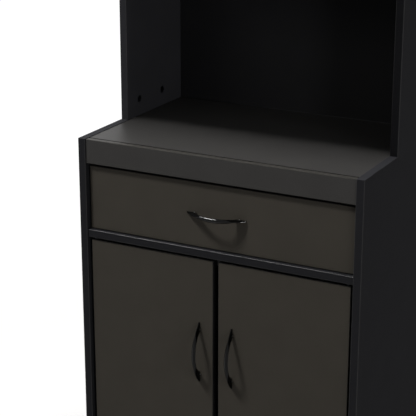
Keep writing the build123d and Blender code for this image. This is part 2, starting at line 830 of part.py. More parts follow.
def handle_screws(frame):
    """The two machine screws that hold a handle from behind its board."""
    screws = []
    for x in (-handle_hole_reach, handle_hole_reach):
        shank = rod((x, 0, -board), (x, 0, machine_screw_grip), machine_screw_diameter)
        head = rod((x, 0, -board - machine_head_height), (x, 0, -board), machine_head_diameter)
        screws.append(frame * (shank + head))
    return group(screws)


def handle_screw_holes(frame):
    """The holes for a handle's screws."""
    return [frame * rod((x, 0, -board - end_play), (x, 0, end_play), machine_screw_hole)
            for x in (-handle_hole_reach, handle_hole_reach)]


# Doors on pivots

def pivot_y(face_y):
    """The door's turning axis runs in the middle of its thickness."""
    return face_y + board / 2


def bush_hole(side, face_y, z, up):
    """The hole for a pivot bush, going up or down from a board's face."""
    x = side * pivot_x
    y = pivot_y(face_y)
    return rod((x, y, z - up * end_play), (x, y, z + up * (bush_depth + end_play)),
               bush_diameter + 2 * fixed_play)


def bush(side, face_y, z, up):
    """A flanged plastic bush that a door pivot turns in."""
    x = side * pivot_x
    y = pivot_y(face_y)
    flange = rod((x, y, z - up * bush_flange), (x, y, z), bush_flange_diameter)
    body = rod((x, y, z), (x, y, z + up * bush_depth), bush_diameter)
    bore = rod((x, y, z - up * door_gap), (x, y, z + up * (bush_depth + end_play)),
               pivot_diameter + 2 * running_play)
    return flange + body - bore


def pivot_bushes():
    """The bushes of all four doors."""
    levels = ((lower_face_y, bottom_top, -1), (lower_face_y, divider_z, 1),
              (upper_face_y, middle_shelf_top, -1), (upper_face_y, hutch_top_z, 1))
    return group([bush(side, *level) for side in SIDES for level in levels])


def pivot_pins(side, face_y, z0, z1):
    """The steel pins in the bottom and top edges of a door, each with its collar."""
    x = side * pivot_x
    y = pivot_y(face_y)
    pins = []
    for edge_z, up in ((z0, -1), (z1, 1)):
        tip_z = edge_z + up * (door_gap + pivot_in_bush)
        stem = rod((x, y, edge_z - up * pivot_in_door), (x, y, tip_z), pivot_diameter)
        collar = rod((x, y, edge_z), (x, y, edge_z + up * collar_height), pivot_collar_diameter)
        pins.append(stem + collar)
    return group(pins)


def pivot_holes(side, face_y, z0, z1):
    """The holes for the pivot pins in a door's edges."""
    x = side * pivot_x
    y = pivot_y(face_y)
    return [rod((x, y, edge_z + up * end_play), (x, y, edge_z - up * (pivot_in_door + end_play)),
                pivot_diameter + 2 * fixed_play)
            for edge_z, up in ((z0, -1), (z1, 1))]


def strike_centre(side, face_y, z1):
    """The middle of a door's strike plate, on the back of the door near its top free corner."""
    x = side * (door_gap + strike_from_edge + strike_width / 2)
    return (x, face_y + board, z1 - strike_from_edge - strike_height / 2)


def strike_plate(side, face_y, z1):
    """The steel plate that the magnetic catch pulls, with its pin in the door."""
    x, y, z = strike_centre(side, face_y, z1)
    half = strike_width / 2
    plate = block(x - half, x + half, y, y + strike_thickness, z - strike_height / 2, z + strike_height / 2)
    return plate + rod((x, y, z), (x, y - strike_pin_length, z), strike_pin_diameter)


def door(side, face_y, z0, z1, handle_z):
    """A door between its gaps, drilled for its handle, pivots and strike plate."""
    panel = block(side * door_gap, side * (inner_x - door_gap), face_y, face_y + board, z0, z1)
    panel = round_front_all(panel)
    x, y, z = strike_centre(side, face_y, z1)
    cuts = handle_screw_holes(door_handle_frame(side, face_y, handle_z))
    cuts += pivot_holes(side, face_y, z0, z1)
    cuts.append(rod((x, y + end_play, z), (x, y - strike_pin_length - end_play, z),
                    strike_pin_diameter + 2 * fixed_play))
    return panel - cuts


# Magnetic catches behind the doors, under the divider and under the hutch top

def catch_front_y(face_y):
    """The plane of a catch's poles, just behind the strike plates."""
    return face_y + board + strike_thickness + catch_play


def catch_screw_frames(face_y, z):
    """The screws of a catch, up through its two ears."""
    y = catch_front_y(face_y) + catch_depth / 2
    reach = catch_width / 2 - catch_ear_inset
    return [Plane(origin=(x, y, z), z_dir=(0, 0, -1)) for x in (-reach, reach)]


def magnetic_catch(face_y, z):
    """A double catch: a body with two pole slots for each door, and a thin ear at each end."""
    y0 = catch_front_y(face_y)
    half = catch_width / 2
    body_half = half - 2 * catch_ear_inset
    ear = block(-half, half, y0, y0 + catch_depth, z - catch_ear, z)
    body = block(-body_half, body_half, y0, y0 + catch_depth, z - catch_height, z)
    catch = fillet(body.edges().filter_by(Axis.Y), edge_round) + ear
    slot_x = strike_from_edge + strike_width / 2
    slot_z0 = z - catch_height + catch_pole_slot
    slot_z1 = z - door_gap - strike_from_edge
    slots = [block(side * slot_x - catch_pole_slot / 2 + offset, side * slot_x + catch_pole_slot / 2 + offset,
                   y0 - end_play, y0 + catch_pole_depth, slot_z0, slot_z1)
             for side in SIDES for offset in (-catch_pole_slot, catch_pole_slot)]
    holes = [frame * rod((0, 0, -end_play), (0, 0, catch_height), wood_screw_diameter + 2 * fixed_play)
             for frame in catch_screw_frames(face_y, z)]
    return catch - slots - holes


def wood_screws():
    """All wood screws of the carcass: runners, catches and brackets."""
    screws = [wood_screw(frame, runner_steel) for side in SIDES for frame in runner_screw_frames(side)]
    screws += [wood_screw(frame, catch_ear) for frame in catch_screw_frames(lower_face_y, divider_z)]
    screws += [wood_screw(frame, catch_ear) for frame in catch_screw_frames(upper_face_y, hutch_top_z)]
    screws += [wood_screw(frame, bracket_steel) for pair in fascia_bracket_screws() for frame in pair]
    screws += [wood_screw(frame, bracket_steel) for frame in wall_bracket_screws()]
    return group(screws)


def all_cam_frames():
    """Every cam joint of the cabinet."""
    return [frame for side in SIDES for part in (*cam_frames(side), stack_bolts(side)) for frame in part]


def all_dowel_frames():
    """Every dowel of the carcass."""
    return [frame for side in SIDES for part in (*dowel_frames(side), stack_dowels(side)) for frame in part]


def carcass_nodes():
    """The boards of the base and hutch, and the hardware fixed to them."""
    return {
        "base_left_side": base_side(-1),
        "base_right_side": base_side(1),
        "base_bottom_panel": bottom_panel(),
        "divider_shelf": divider_shelf(),
        "worktop": worktop(),
        "worktop_fascia": worktop_fascia(),
        "plinth_board": plinth_board(),
        "base_back_panel": back_panel(bottom_z, base_height),
        "hutch_left_side": hutch_side(-1),
        "hutch_right_side": hutch_side(1),
        "hutch_middle_shelf": middle_shelf(),
        "hutch_top_panel": hutch_top_panel(),
        "hutch_back_panel": hutch_back_panel(),
        "adjustable_shelves": group([adjustable_shelf(front_y, lower_shelf_z),
                                     adjustable_shelf(hutch_front_y, upper_shelf_z)]),
        "shelf_pins": shelf_pins(),
        "cam_locks": group([cam_lock(frame) for frame in all_cam_frames()]),
        "cam_bolts": group([cam_bolt(frame) for frame in all_cam_frames()]),
        "dowels": group([dowel(frame) for frame in all_dowel_frames()]),
        "angle_brackets": angle_brackets(),
        "wood_screws": wood_screws(),
        "floor_glides": group([glide(side, y) for side in SIDES for y in glide_rows]),
        "cabinet_runner_left": cabinet_runner(-1),
        "cabinet_runner_right": cabinet_runner(1),
        "pivot_bushes": pivot_bushes(),
        "magnetic_catches": group([magnetic_catch(lower_face_y, divider_z),
                                   magnetic_catch(upper_face_y, hutch_top_z)]),
    }


def drawer_nodes():
    """The drawer box, its handle and runners, and the rollers."""
    handle = drawer_handle_frame()
    runner_screws = [wood_screw(frame, runner_steel)
                     for side in SIDES for frame in drawer_runner_screw_frames(side)]
    return {
        "drawer_front": drawer_front(),
        "drawer_left_side": drawer_side(-1),
        "drawer_right_side": drawer_side(1),
        "drawer_back": drawer_back(),
        "drawer_bottom": drawer_bottom(),
        "drawer_dowels": group([drawer_dowel(frame) for frame in all_drawer_dowel_frames()]),
        "drawer_runner_left": drawer_runner(-1),
        "drawer_runner_right": drawer_runner(1),
        "drawer_runner_screws": group(runner_screws),
        "drawer_handle": bow_handle(handle),
        "drawer_handle_screws": handle_screws(handle),
        "front_roller_left": roller(-1, front_roller_y),
        "front_roller_right": roller(1, front_roller_y),
        "rear_roller_left": roller(-1, rear_roller_y),
        "rear_roller_right": roller(1, rear_roller_y),
    }


def door_nodes(name, side, face_y, opening_z0, opening_z1, handle_z):
    """One door with its handle, pivot pins and strike plate."""
    z0 = opening_z0 + door_gap
    z1 = opening_z1 - door_gap
    handle = door_handle_frame(side, face_y, handle_z)
    return {
        name: door(side, face_y, z0, z1, handle_z),
        f"{name}_handle": bow_handle(handle),
        f"{name}_handle_screws": handle_screws(handle),
        f"{name}_pivot_pins": pivot_pins(side, face_y, z0, z1),
        f"{name}_strike_plate": strike_plate(side, face_y, z1),
    }


def all_nodes():
    """Every node of the cabinet by name."""
    nodes = {**carcass_nodes(), **drawer_nodes()}
    lower_handle_z = divider_z - door_gap - lower_handle_drop
    upper_handle_z = middle_shelf_top + door_gap + upper_handle_lift
    for side, word in ((-1, "left"), (1, "right")):
        nodes.update(door_nodes(f"lower_{word}_door", side, lower_face_y, bottom_top, divider_z, lower_handle_z))
        nodes.update(door_nodes(f"upper_{word}_door", side, upper_face_y, middle_shelf_top, hutch_top_z,
                                upper_handle_z))
    return nodes


for node_name, shape in all_nodes().items():
    export_step(shape, f"parts/{node_name}.step")
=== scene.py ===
"""Dress a two-tone kitchen cabinet and stand it in a pale studio.

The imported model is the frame: every board, runner and fastener keeps its place and gets the finish
of the material it is made of. The boards are eased along their edges, the bow handles are modelled
again in full and crosses are cut into the screws, because these forms show close up. Tacks on the
back panels are added. Lengths are metres unless a name ends in _mm.
"""
import logging
import math
from dataclasses import dataclass, field
from enum import Enum

import bpy
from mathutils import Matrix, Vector


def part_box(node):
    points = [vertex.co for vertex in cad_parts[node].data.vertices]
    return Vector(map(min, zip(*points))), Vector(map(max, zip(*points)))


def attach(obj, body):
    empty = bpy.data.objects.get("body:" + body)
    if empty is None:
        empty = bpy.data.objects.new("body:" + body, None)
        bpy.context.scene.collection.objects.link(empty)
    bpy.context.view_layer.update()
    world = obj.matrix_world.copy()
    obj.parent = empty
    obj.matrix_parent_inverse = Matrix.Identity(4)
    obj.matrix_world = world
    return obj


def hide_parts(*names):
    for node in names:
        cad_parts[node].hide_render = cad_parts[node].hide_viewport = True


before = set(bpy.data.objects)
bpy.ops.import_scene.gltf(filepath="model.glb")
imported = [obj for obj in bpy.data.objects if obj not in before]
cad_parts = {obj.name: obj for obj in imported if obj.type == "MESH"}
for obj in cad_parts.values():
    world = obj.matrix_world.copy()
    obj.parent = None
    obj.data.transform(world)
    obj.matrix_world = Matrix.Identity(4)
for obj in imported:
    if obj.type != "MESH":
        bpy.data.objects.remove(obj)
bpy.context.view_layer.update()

log = logging.getLogger("cabinet")

MM = 0.001
WHITE = (1.0, 1.0, 1.0, 1.0)
# Corners of a mesh that lie closer than this are one corner
MERGE = 0.001 * MM
# Faces that meet at less than this angle are one flat face
FLAT_ANGLE = math.radians(0.5)
# Sharpest angles that are shaded smooth, on cut pieces and on cast ones
CUT_SMOOTH = math.radians(32)
CAST_SMOOTH = math.radians(40)
# Noise seldom leaves this range
NOISE_LOW, NOISE_HIGH = 0.3, 0.7
# Waves that the wave texture draws along a metre at a scale of 1
WAVES = 10 / math.pi
# A plane so far behind the cabinet that no edge reaches it
NO_CUT_EDGE = 10.0


def linear(hex_colour: str) -> tuple[float, float, float, float]:
    """Turn an sRGB colour into the linear colour that shaders take.

    Args:
        hex_colour: a colour such as "#3A3835".

    Returns:
        Linear red, green and blue, and an alpha of 1.
    """
    channels = [int(hex_colour[i:i + 2], 16) / 255 for i in (1, 3, 5)]
    curve = [c / 12.92 if c <= 0.04045 else ((c + 0.055) / 1.055) ** 2.4 for c in channels]
    return (*curve, 1.0)


def add_node(tree: bpy.types.NodeTree, kind: str, settings: dict | None = None,
             links: dict | None = None) -> bpy.types.Node:
    """Add one shader node with its settings and links.

    Args:
        tree: the node tree that gets the node.
        kind: the node's type, such as "ShaderNodeTexNoise".
        settings: properties of the node by name, and values of its inputs by name or number.
        links: output sockets to join, by the name or number of the input that takes them.

    Returns:
        The new node.
    """
    node = tree.nodes.new(kind)
    for name, value in (settings or {}).items():
        if isinstance(name, str) and hasattr(node, name):
            setattr(node, name, value)
        else:
            node.inputs[name].default_value = value
    for name, source in (links or {}).items():
        tree.links.new(source, node.inputs[name])
    return node


def per_metre(size_mm: float) -> float:
    """The texture scale that draws features of the given size, in millimetres."""
    return 1.0 / (size_mm * MM)


# Finishes

@dataclass(frozen=True)
class Finish:
    """A finish: the name of its real material, its colour and how rough it is.

    Attributes:
        name: the material's name.
        colour: sRGB colour of the bare surface.
        roughness: roughness of the surface.
        specular: how strongly it reflects, where 0.5 is a bare surface of IOR 1.5.
        grit_mm: spacing of the fine texture that the making of the surface leaves.
        relief_mm: height of that texture.
        cloud: how far its colour drifts, as a share of it.
        cloud_mm: size of the clouds in which it drifts.
        drift: how far the roughness follows the fine texture.
    """

    name: str
    colour: str
    roughness: float
    specular: float
    grit_mm: float
    relief_mm: float
    cloud: float = 0.06
    cloud_mm: float = 30.0
    drift: float = 0.06

    def material(self) -> bpy.types.Material:
        """Build the material.

        Returns:
            A new material with the finish's nodes.
        """
        made = bpy.data.materials.new(self.name)
        made.use_nodes = True
        tree = made.node_tree
        shader = tree.nodes["Principled BSDF"]
        shader.inputs["Roughness"].default_value = self.roughness
        shader.inputs["Specular IOR Level"].default_value = self.specular
        place = add_node(tree, "ShaderNodeTexCoord")
        self.paint(tree, shader, place)
        return made

    def paint(self, tree: bpy.types.NodeTree, shader: bpy.types.Node, place: bpy.types.Node) -> None:
        """Draw the finish on its shader.

        Args:
            tree: the material's node tree.
            shader: its Principled shader.
            place: its Texture Coordinate node.
        """
        colour = self.clouded(tree, place, self.colour, self.cloud, self.cloud_mm)
        tree.links.new(colour, shader.inputs["Base Color"])
        self.grain(tree, shader, place)

    def clouded(self, tree: bpy.types.NodeTree, place: bpy.types.Node, colour: str, depth: float,
                cloud_mm: float) -> bpy.types.NodeSocket:
        """A colour that drifts a little in broad clouds, as a printed or sprayed surface does.

        Args:
            tree: the material's node tree.
            place: its Texture Coordinate node.
            colour: the middle colour.
            depth: how far the drift goes, as a share of the colour.
            cloud_mm: size of the clouds.

        Returns:
            The socket that gives the colour.
        """
        noise = add_node(tree, "ShaderNodeTexNoise", {"Scale": per_metre(cloud_mm), "Detail": 3.0},
                         {"Vector": place.outputs["Object"]})
        level = add_node(tree, "ShaderNodeMapRange", {"From Min": NOISE_LOW, "From Max": NOISE_HIGH,
                                                      "To Min": 1.0 - depth, "To Max": 1.0 + depth},
                         {"Value": noise.outputs["Fac"]})
        tint = add_node(tree, "ShaderNodeMix", {"data_type": "RGBA", "blend_type": "MULTIPLY", 0: 1.0,
                                                6: linear(colour)}, {7: level.outputs["Result"]})
        return tint.outputs[2]

    def grain(self, tree: bpy.types.NodeTree, shader: bpy.types.Node, place: bpy.types.Node) -> None:
        """Give the surface its fine relief and a roughness that follows it.

        Args:
            tree: the material's node tree.
            shader: its Principled shader.
            place: its Texture Coordinate node.
        """
        noise = add_node(tree, "ShaderNodeTexNoise", {"Scale": per_metre(self.grit_mm), "Detail": 2.0},
                         {"Vector": place.outputs["Object"]})
        rough = add_node(tree, "ShaderNodeMapRange", {"To Min": self.roughness - self.drift,
                                                      "To Max": self.roughness + self.drift},
                         {"Value": noise.outputs["Fac"]})
        tree.links.new(rough.outputs["Result"], shader.inputs["Roughness"])
        bump = add_node(tree, "ShaderNodeBump", {"Strength": 1.0, "Distance": self.relief_mm * MM},
                        {"Height": noise.outputs["Fac"]})
        tree.links.new(bump.outputs["Normal"], shader.inputs["Normal"])


@dataclass(frozen=True)
class FacedBoard(Finish):
    """Particle board faced with melamine, which the press gives a fine pearl texture.

    Attributes:
        cut_edge_y: boards whose back edge lies past this plane show their raw chips there.
        chip_mm: size of the wood chips in the core.
        dark_chip: sRGB colour of the darkest chips.
        pale_chip: sRGB colour of the palest chips.
        backward: how squarely a face has to look back to count as the back edge. 1 is fully.
    """

    cut_edge_y: float = NO_CUT_EDGE
    chip_mm: float = 2.5
    dark_chip: str = "#6E5436"
    pale_chip: str = "#C9A97A"
    backward: float = 0.9
    cloud: float = 0.05
    cloud_mm: float = 60.0

    def paint(self, tree: bpy.types.NodeTree, shader: bpy.types.Node, place: bpy.types.Node) -> None:
        """Draw the faced sides, and the raw chips on a back edge that no band covers.

        Args:
            tree: the material's node tree.
            shader: its Principled shader.
            place: its Texture Coordinate node.
        """
        face = self.clouded(tree, place, self.colour, self.cloud, self.cloud_mm)
        chips = add_node(tree, "ShaderNodeTexVoronoi", {"Scale": per_metre(self.chip_mm)},
                         {"Vector": place.outputs["Object"]})
        core = add_node(tree, "ShaderNodeValToRGB", None, {"Fac": chips.outputs["Color"]})
        core.color_ramp.elements[0].color = linear(self.dark_chip)
        core.color_ramp.elements[1].color = linear(self.pale_chip)
        spot = add_node(tree, "ShaderNodeSeparateXYZ", None, {"Vector": place.outputs["Object"]})
        facing = add_node(tree, "ShaderNodeSeparateXYZ", None, {"Vector": place.outputs["Normal"]})
        behind = add_node(tree, "ShaderNodeMath", {"operation": "GREATER_THAN", 1: self.cut_edge_y},
                          {0: spot.outputs["Y"]})
        looks_back = add_node(tree, "ShaderNodeMath", {"operation": "GREATER_THAN", 1: self.backward},
                              {0: facing.outputs["Y"]})
        raw = add_node(tree, "ShaderNodeMath", {"operation": "MULTIPLY"},
                       {0: behind.outputs["Value"], 1: looks_back.outputs["Value"]})
        colour = add_node(tree, "ShaderNodeMix", {"data_type": "RGBA"},
                          {0: raw.outputs["Value"], 6: face, 7: core.outputs["Color"]})
        tree.links.new(colour.outputs[2], shader.inputs["Base Color"])
        self.grain(tree, shader, place)


@dataclass(frozen=True)
class Hardboard(Finish):
    """Hardboard, sprayed on its smooth side, with the press screen's mark on its raw back.

    Attributes:
        raw_colour: sRGB colour of the bare back.
        raw_cloud: how far the back's colour drifts, as a share of it.
        raw_cloud_mm: size of the clouds in which it drifts.
        screen_mm: spacing of the press screen's wires, drawn coarser than the real 1.5 mm to show.
        backward: how squarely a face has to look back to count as the back. 1 is fully.
    """

    raw_colour: str = "#6B5138"
    raw_cloud: float = 0.22
    raw_cloud_mm: float = 6.0
    screen_mm: float = 2.2
    backward: float = 0.5
    cloud: float = 0.08
    cloud_mm: float = 50.0

    def paint(self, tree: bpy.types.NodeTree, shader: bpy.types.Node, place: bpy.types.Node) -> None:
        """Draw the sprayed front and the raw back with its screen mark.

        Args:
            tree: the material's node tree.
            shader: its Principled shader.
            place: its Texture Coordinate node.
        """
        sprayed = self.clouded(tree, place, self.colour, self.cloud, self.cloud_mm)
        raw = self.clouded(tree, place, self.raw_colour, self.raw_cloud, self.raw_cloud_mm)
        facing = add_node(tree, "ShaderNodeSeparateXYZ", None, {"Vector": place.outputs["Normal"]})
        back = add_node(tree, "ShaderNodeMath", {"operation": "GREATER_THAN", 1: self.backward},
                        {0: facing.outputs["Y"]})
        colour = add_node(tree, "ShaderNodeMix", {"data_type": "RGBA"},
                          {0: back.outputs["Value"], 6: sprayed, 7: raw})
        tree.links.new(colour.outputs[2], shader.inputs["Base Color"])
        scale = per_metre(self.screen_mm) / WAVES
        wires = [add_node(tree, "ShaderNodeTexWave", {"bands_direction": axis, "Scale": scale},
                          {"Vector": place.outputs["Object"]}) for axis in ("X", "Z")]
        mesh = add_node(tree, "ShaderNodeMath", {"operation": "MULTIPLY"},
                        {0: wires[0].outputs["Fac"], 1: wires[1].outputs["Fac"]})
        mark = add_node(tree, "ShaderNodeMath", {"operation": "MULTIPLY"},
                        {0: mesh.outputs["Value"], 1: back.outputs["Value"]})
        bump = add_node(tree, "ShaderNodeBump", {"Strength": 1.0, "Distance": self.relief_mm * MM},
                        {"Height": mark.outputs["Value"]})
        tree.links.new(bump.outputs["Normal"], shader.inputs["Normal"])


@dataclass(frozen=True)
class PlatedSteel(Finish):
    """Pressed or turned steel under a thin, slightly clouded plating."""

    def paint(self, tree: bpy.types.NodeTree, shader: bpy.types.Node, place: bpy.types.Node) -> None:
        """Draw the plating as a metal."""
        shader.inputs["Metallic"].default_value = 1.0
        super().paint(tree, shader, place)


@dataclass(frozen=True)
class GlossLacquer(Finish):
    """Cast zinc under gloss black lacquer: deep black with a sharp, bright reflection.

    Attributes:
        coat: strength of the clear coat.
        coat_roughness: roughness of the clear coat.
    """

    coat: float = 0.06
    coat_roughness: float = 0.04

    def paint(self, tree: bpy.types.NodeTree, shader: bpy.types.Node, place: bpy.types.Node) -> None:
        """Draw the lacquer with its clear coat.

        Args:
            tree: the material's node tree.
            shader: its Principled shader.
            place: its Texture Coordinate node.
        """
        shader.inputs["Coat Weight"].default_value = self.coat
        shader.inputs["Coat Roughness"].default_value = self.coat_roughness
        super().paint(tree, shader, place)


@dataclass(frozen=True)
class TurnedWood(Finish):
    """Turned hardwood: short, fine grain lines along the pin.

    Attributes:
        grain_mm: width of the grain lines.
        stretch: how many times longer than wide they are.
        darkest: the darkest lines, as a share of the colour.
        palest: the palest lines, as a share of the colour.
    """

    grain_mm: float = 0.9
    stretch: float = 10.0
    darkest: float = 0.75
    palest: float = 1.1

    def paint(self, tree: bpy.types.NodeTree, shader: bpy.types.Node, place: bpy.types.Node) -> None:
        """Draw grain along the pin, which lies across the cabinet.

        Args:
            tree: the material's node tree.
            shader: its Principled shader.
            place: its Texture Coordinate node.
        """
        along = add_node(tree, "ShaderNodeMapping", {"Scale": (1 / self.stretch, 1.0, 1.0)},
                         {"Vector": place.outputs["Object"]})
        lines = add_node(tree, "ShaderNodeTexNoise", {"Scale": per_metre(self.grain_mm), "Detail": 4.0},
                         {"Vector": along.outputs["Vector"]})
        tone = add_node(tree, "ShaderNodeMapRange", {"From Min": NOISE_LOW, "From Max": NOISE_HIGH,
                                                     "To Min": self.darkest, "To Max": self.palest},
                        {"Value": lines.outputs["Fac"]})
        wood = add_node(tree, "ShaderNodeMix", {"data_type": "RGBA", "blend_type": "MULTIPLY", 0: 1.0,
                                                6: linear(self.colour)}, {7: tone.outputs["Result"]})
        tree.links.new(wood.outputs[2], shader.inputs["Base Color"])
        self.grain(tree, shader, place)


# The press pearl, grit and moulded grain of the real surfaces are a few tenths of a millimetre apart.
# They are drawn about 1 mm apart, so that they show in the render

# Pressed melamine of a cooler batch than the fronts, on worktop and fascia: a broad, dull sheen
TOP_FINISH = FacedBoard("cool_charcoal_melamine_board", "#343332", 0.45, 0.04, 1.3, 0.05)
# Scraped and buffed corners of black plastic edge bands: a thin line of light
BAND_CORNER = Finish("buffed_edge_band", "#1A1A1B", 0.3, 0.15, 0.8, 0.01)
# Black plastic edge bands round the fronts' narrow sides, drawn near-black: painted shade that makes
# the gaps between the fronts look black
FRONT_BAND_AND_GAP_SHADE = Finish("black_edge_band_and_gap_shade", "#141415", 0.5, 0.1, 0.8, 0.02)
# Charcoal plastic edge bands on the fascia's narrow sides: a shade darker than its face
TOP_BAND = Finish("charcoal_edge_band", "#272624", 0.45, 0.04, 0.8, 0.02)
# Scraped and buffed corners of charcoal boards: a dull line
TOP_CORNER = Finish("buffed_charcoal_band", "#272624", 0.36, 0.02, 0.8, 0.01)

# Just in front of the back edges of the base's sides
EDGE_MARGIN = 0.5 * MM
BACK_EDGE_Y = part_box("base_left_side")[1].y - EDGE_MARGIN

# What each material slot of the record looks like
FINISHES: dict[str, Finish] = {
    # Pressed melamine: matt black with a soft pearl, and raw chips on back edges that no band covers
    "black_laminate": FacedBoard("black_melamine_board", "#202022", 0.6, 0.006, 1.3, 0.05,
                                 cut_edge_y=BACK_EDGE_Y),
    # The same facing in warm charcoal: a broad, dull sheen
    "charcoal_laminate": FacedBoard("charcoal_melamine_board", "#36332E", 0.45, 0.05, 1.3, 0.05),
    # Pressed fibre board: sprayed matt black inside, raw brown with a screen mark behind
    "black_hardboard": Hardboard("sprayed_hardboard", "#101011", 0.65, 0.04, 1.5, 0.12),
    # Printed paper foil on thin board: even dark grey with a satin sheen
    "grey_drawer_foil": Finish("grey_foiled_board", "#4A4A49", 0.5, 0.3, 0.9, 0.04),
    # Turned beech: pale brown pins with fine, short grain
    "beech": TurnedWood("beech", "#C39A6B", 0.6, 0.3, 1.2, 0.08),
    # Black zinc plate on turned steel: dark metal with a dull gleam
    "dark_zinc": PlatedSteel("black_zinc_plate", "#1F1F21", 0.5, 0.5, 0.8, 0.02),
    # Bright zinc plate on pressed steel: cool silver with blurred reflections
    "zinc_plated_steel": PlatedSteel("zinc_plated_steel", "#BFC3C8", 0.32, 0.5, 0.8, 0.02),
    # Gloss lacquer on cast zinc: deep black with one sharp line and faint waves
    "black_handle": GlossLacquer("gloss_black_lacquer", "#020202", 0.1, 0.08, 6.0, 0.002),
    # Epoxy powder baked on rolled steel: warm white and satin, with a fine peel
    "epoxy_runner": Finish("epoxy_coated_steel", "#C9C5BA", 0.4, 0.4, 0.7, 0.03),
    # Moulded nylon: milky white and waxy
    "white_nylon": Finish("white_nylon", "#DAD7CF", 0.45, 0.4, 0.6, 0.03),
    # Moulded plastic with a spark-eroded grain: dull black
    "black_plastic": Finish("black_moulded_plastic", "#19191A", 0.5, 0.3, 0.5, 0.04),
}


def dress_nodes() -> dict[str, bpy.types.Material]:
    """Give every node of the frame the finish of its material slot.

    Returns:
        The materials by slot name.
    """
    made = {slot: finish.material() for slot, finish in FINISHES.items()}
    for name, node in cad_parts.items():
        for slot in node.material_slots:
            slot.material = made[slot.material.name]
        log.info("dressed %s", name)
    return made


def deselect() -> None:
    """Leave edit mode and select nothing."""
    if bpy.context.mode != "OBJECT":
        bpy.ops.object.mode_set(mode="OBJECT")
    bpy.ops.object.select_all(action="DESELECT")


def pick(piece: bpy.types.Object) -> None:
    """Select one object only and make it the active one.

    Args:
        piece: the object.
    """
    deselect()
    piece.select_set(True)
    bpy.context.view_layer.objects.active = piece


def merged_copy(node: str, name: str) -> bpy.types.Object:
    """Copy a node and merge the loose triangles of the copy.

    Args:
        node: the node to copy.
        name: the copy's name.

    Returns:
        The copy, in edit mode, with its edges to be selected.
    """
    pick(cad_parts[node])
    bpy.ops.object.duplicate()
    piece = bpy.context.object
    piece.name = name
    bpy.ops.mesh.customdata_custom_splitnormals_clear()
    bpy.context.tool_settings.mesh_select_mode = (False, True, False)
    bpy.ops.object.mode_set(mode="EDIT")
    bpy.ops.mesh.select_all(action="SELECT")
    bpy.ops.mesh.remove_doubles(threshold=MERGE)
    return piece


# Boards

@dataclass
class EasedBoard:
    """A board with its long edges eased, as the scraper leaves them after banding.

    Attributes:
        node: the node that it stands for.
        body: the body that it moves with.
        ease: width of the eased edges.
        shortest: shortest edge that is eased. The rims of bored holes stay sharp.
        steps: facets across each eased edge.
        square: two faces meet squarely if the product of their normals is less than this.
        tilt: a face belongs to a corner if its normal's second part is more than this.
        flank: a face is a narrow side if its normal looks to the front or back less than this.
    """

    node: str
    body: str
    ease: float = 0.8 * MM
    shortest: float = 8 * MM
    steps: int = 2
    square: float = 0.1
    tilt: float = 0.2
    flank: float = 0.5

    def long_edges(self, mesh: bpy.types.Mesh) -> list[int]:
        """Find the straight outer edges of the board.

        Args:
            mesh: the merged copy of the node's mesh.

        Returns:
            The indices of the convex right-angled edges that are long enough to ease.
        """
        sides: dict[tuple[int, int], list[bpy.types.MeshPolygon]] = {}
        for face in mesh.polygons:
            for key in face.edge_keys:
                sides.setdefault(key, []).append(face)
        found = []
        for edge in mesh.edges:
            faces = sides.get(edge.key, [])
            start, end = (mesh.vertices[i].co for i in edge.vertices)
            if len(faces) != 2 or (end - start).length < self.shortest:
                continue
            squarely = abs(faces[0].normal.dot(faces[1].normal)) < self.square
            outward = (faces[1].center - faces[0].center).dot(faces[0].normal) < 0
            if squarely and outward:
                found.append(edge.index)
        return found

    def on_rim(self, spot: Vector) -> bool:
        """Whether a point lies on one of the node's four narrow sides."""
        low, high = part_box(self.node)
        return any(min(spot[i] - low[i], high[i] - spot[i]) < self.ease for i in (0, 2))

    def build(self) -> bpy.types.Object:
        """Copy the node's mesh, merge it into plain faces and ease its long edges.

        Returns:
            The finished piece.
        """
        piece = merged_copy(self.node, f"{self.node}_eased")
        bpy.ops.mesh.dissolve_limited(angle_limit=FLAT_ANGLE)
        bpy.ops.mesh.select_all(action="DESELECT")
        bpy.ops.object.mode_set(mode="OBJECT")
        for index in self.long_edges(piece.data):
            piece.data.edges[index].select = True
        bpy.ops.object.mode_set(mode="EDIT")
        bpy.ops.mesh.bevel(offset=self.ease, segments=self.steps, affect="EDGES", clamp_overlap=True,
                           vmesh_method="CUTOFF")
        bpy.ops.object.mode_set(mode="OBJECT")
        bpy.ops.object.shade_smooth_by_angle(angle=CUT_SMOOTH)
        flat = piece.modifiers.new("flat_faces", "WEIGHTED_NORMAL")
        flat.weight = 100
        flat.keep_sharp = True
        bpy.ops.object.modifier_apply(modifier=flat.name)
        return piece

    def dress(self, piece: bpy.types.Object, slot: str, corner: bpy.types.Material,
              band_and_gap_shade: bpy.types.Material | None = None) -> None:
        """Buff the eased corners and let the board ride in place of its node, with its finish.

        Args:
            piece: the finished mesh.
            slot: the record's slot for the board's material. It is not used.
            corner: the finish of the eased corners.
            band_and_gap_shade: the finish of the board's narrow sides, where they differ from its face.
                On the fronts it is a near-black band, which also paints the shade in the gaps between
                them.
        """
        piece.data.materials.append(corner)
        if band_and_gap_shade:
            piece.data.materials.append(band_and_gap_shade)
        # The narrow sides of the fronts take a near-black finish, which paints the shade in the gaps
        # between them
        for face in piece.data.polygons:
            if sorted(abs(part) for part in face.normal)[1] > self.tilt:
                face.material_index = 1
            elif band_and_gap_shade and abs(face.normal.y) < self.flank and self.on_rim(face.center):
                face.material_index = 2
        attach(piece, self.body)
        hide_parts(self.node)


FRONTS = ("drawer_front", "lower_left_door", "lower_right_door", "upper_left_door", "upper_right_door")

# The eased boards by the slot of their material
BOARDS: dict[str, tuple[str, ...]] = {
    "charcoal_laminate": ("worktop_fascia", *FRONTS),
    "black_laminate": ("base_left_side", "base_right_side", "base_bottom_panel", "divider_shelf",
                       "plinth_board", "hutch_left_side", "hutch_right_side", "hutch_middle_shelf",
                       "hutch_top_panel", "adjustable_shelves"),
    "grey_drawer_foil": ("drawer_left_side", "drawer_right_side", "drawer_back"),
    "black_hardboard": ("base_back_panel", "hutch_back_panel"),
}


